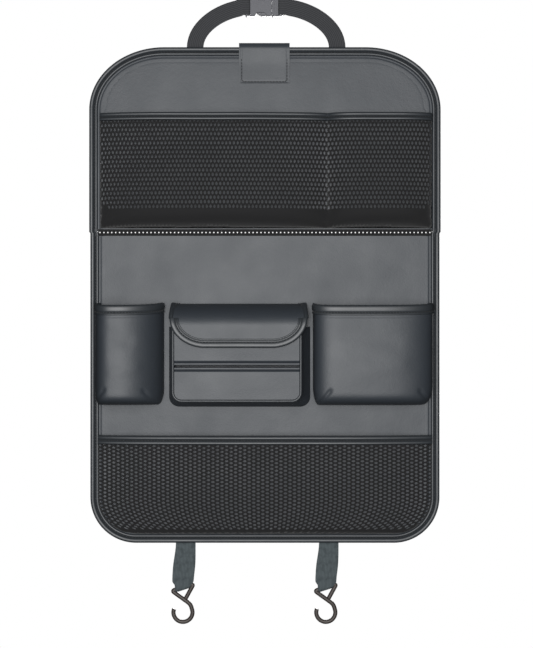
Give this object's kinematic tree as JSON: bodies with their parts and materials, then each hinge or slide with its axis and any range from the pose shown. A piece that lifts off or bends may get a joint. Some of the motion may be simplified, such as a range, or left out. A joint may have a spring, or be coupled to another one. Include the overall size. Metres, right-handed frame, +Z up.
{
  "type": "back seat organizer",
  "caption": "Hanging panel for the back of a car seat, with net pockets, a bottle pocket, a tissue pocket with a flap, a wide pocket, a buckled headrest strap and elastic straps with hooks.",
  "frame": {"origin": "centre of the panel's height and width, on the back face of the lining that lies against the seat", "axes": "+Z up along the panel, +X to the right as seen from the pockets' side, +Y out of the back face towards the seat; the pockets face -Y"},
  "size_m": [0.4218, 0.0582, 0.7549],
  "materials": {
    "coated_fabric": "polyurethane-coated cloth in black-grey, fine pebbled grain, satin",
    "binding_tape": "the same coated cloth cut in strips, folded and stitched, satin",
    "stiffener": "plain white polyethylene board",
    "lining_cloth": "black non-woven backing cloth, matt",
    "net_cloth": "black knitted polyester net, matt",
    "webbing": "dark grey woven webbing, finely ribbed",
    "elastic": "dark green-grey braided elastic, ribbed",
    "hook_and_loop": "black hook and loop tape",
    "buckle_plastic": "grey moulded acetal with a light sheen",
    "hook_wire": "steel wire with a dark bronze coat"
  },
  "bodies": {
    "panel": {"upper_face": "coated_fabric", "lower_face": "coated_fabric", "upper_board": "stiffener", "lower_board": "stiffener", "upper_lining": "lining_cloth", "lower_lining": "lining_cloth", "upper_binding": "binding_tape", "lower_binding": "binding_tape", "joining_tape": "binding_tape", "top_tab": "coated_fabric", "bottle_pocket": "coated_fabric", "bottle_pocket_hem": "binding_tape", "wide_pocket": "coated_fabric", "wide_pocket_hem": "binding_tape", "tissue_gusset": "coated_fabric", "tissue_front_upper": "coated_fabric", "tissue_front_lower": "coated_fabric", "tissue_piping": "binding_tape", "tissue_flap": "coated_fabric", "tissue_flap_binding": "binding_tape", "loop_patch": "hook_and_loop", "hook_patch": "hook_and_loop", "upper_net": "net_cloth", "upper_net_band": "binding_tape", "lower_net": "net_cloth", "lower_net_band": "binding_tape", "headrest_strap_left": "webbing", "headrest_strap_right": "webbing", "buckle_socket": "buckle_plastic", "buckle_plug": "buckle_plastic", "elastic_strap_left": "elastic", "elastic_strap_right": "elastic"},
    "hook_left": {"wire_hook_left": "hook_wire"},
    "hook_right": {"wire_hook_right": "hook_wire"}
  },
  "joints": [
    {"name": "hook_left_swing", "type": "hinge", "parent": "panel", "child": "hook_left", "pos_m": [-0.099, 0.0039, -0.3522], "axis": [0.9523, 0, 0.3051], "range_deg": [-90, 90]},
    {"name": "hook_right_swing", "type": "hinge", "parent": "panel", "child": "hook_right", "pos_m": [0.0732, 0.0039, -0.3522], "axis": [0.9523, 0, 0.3051], "range_deg": [-90, 90]}
  ]
}
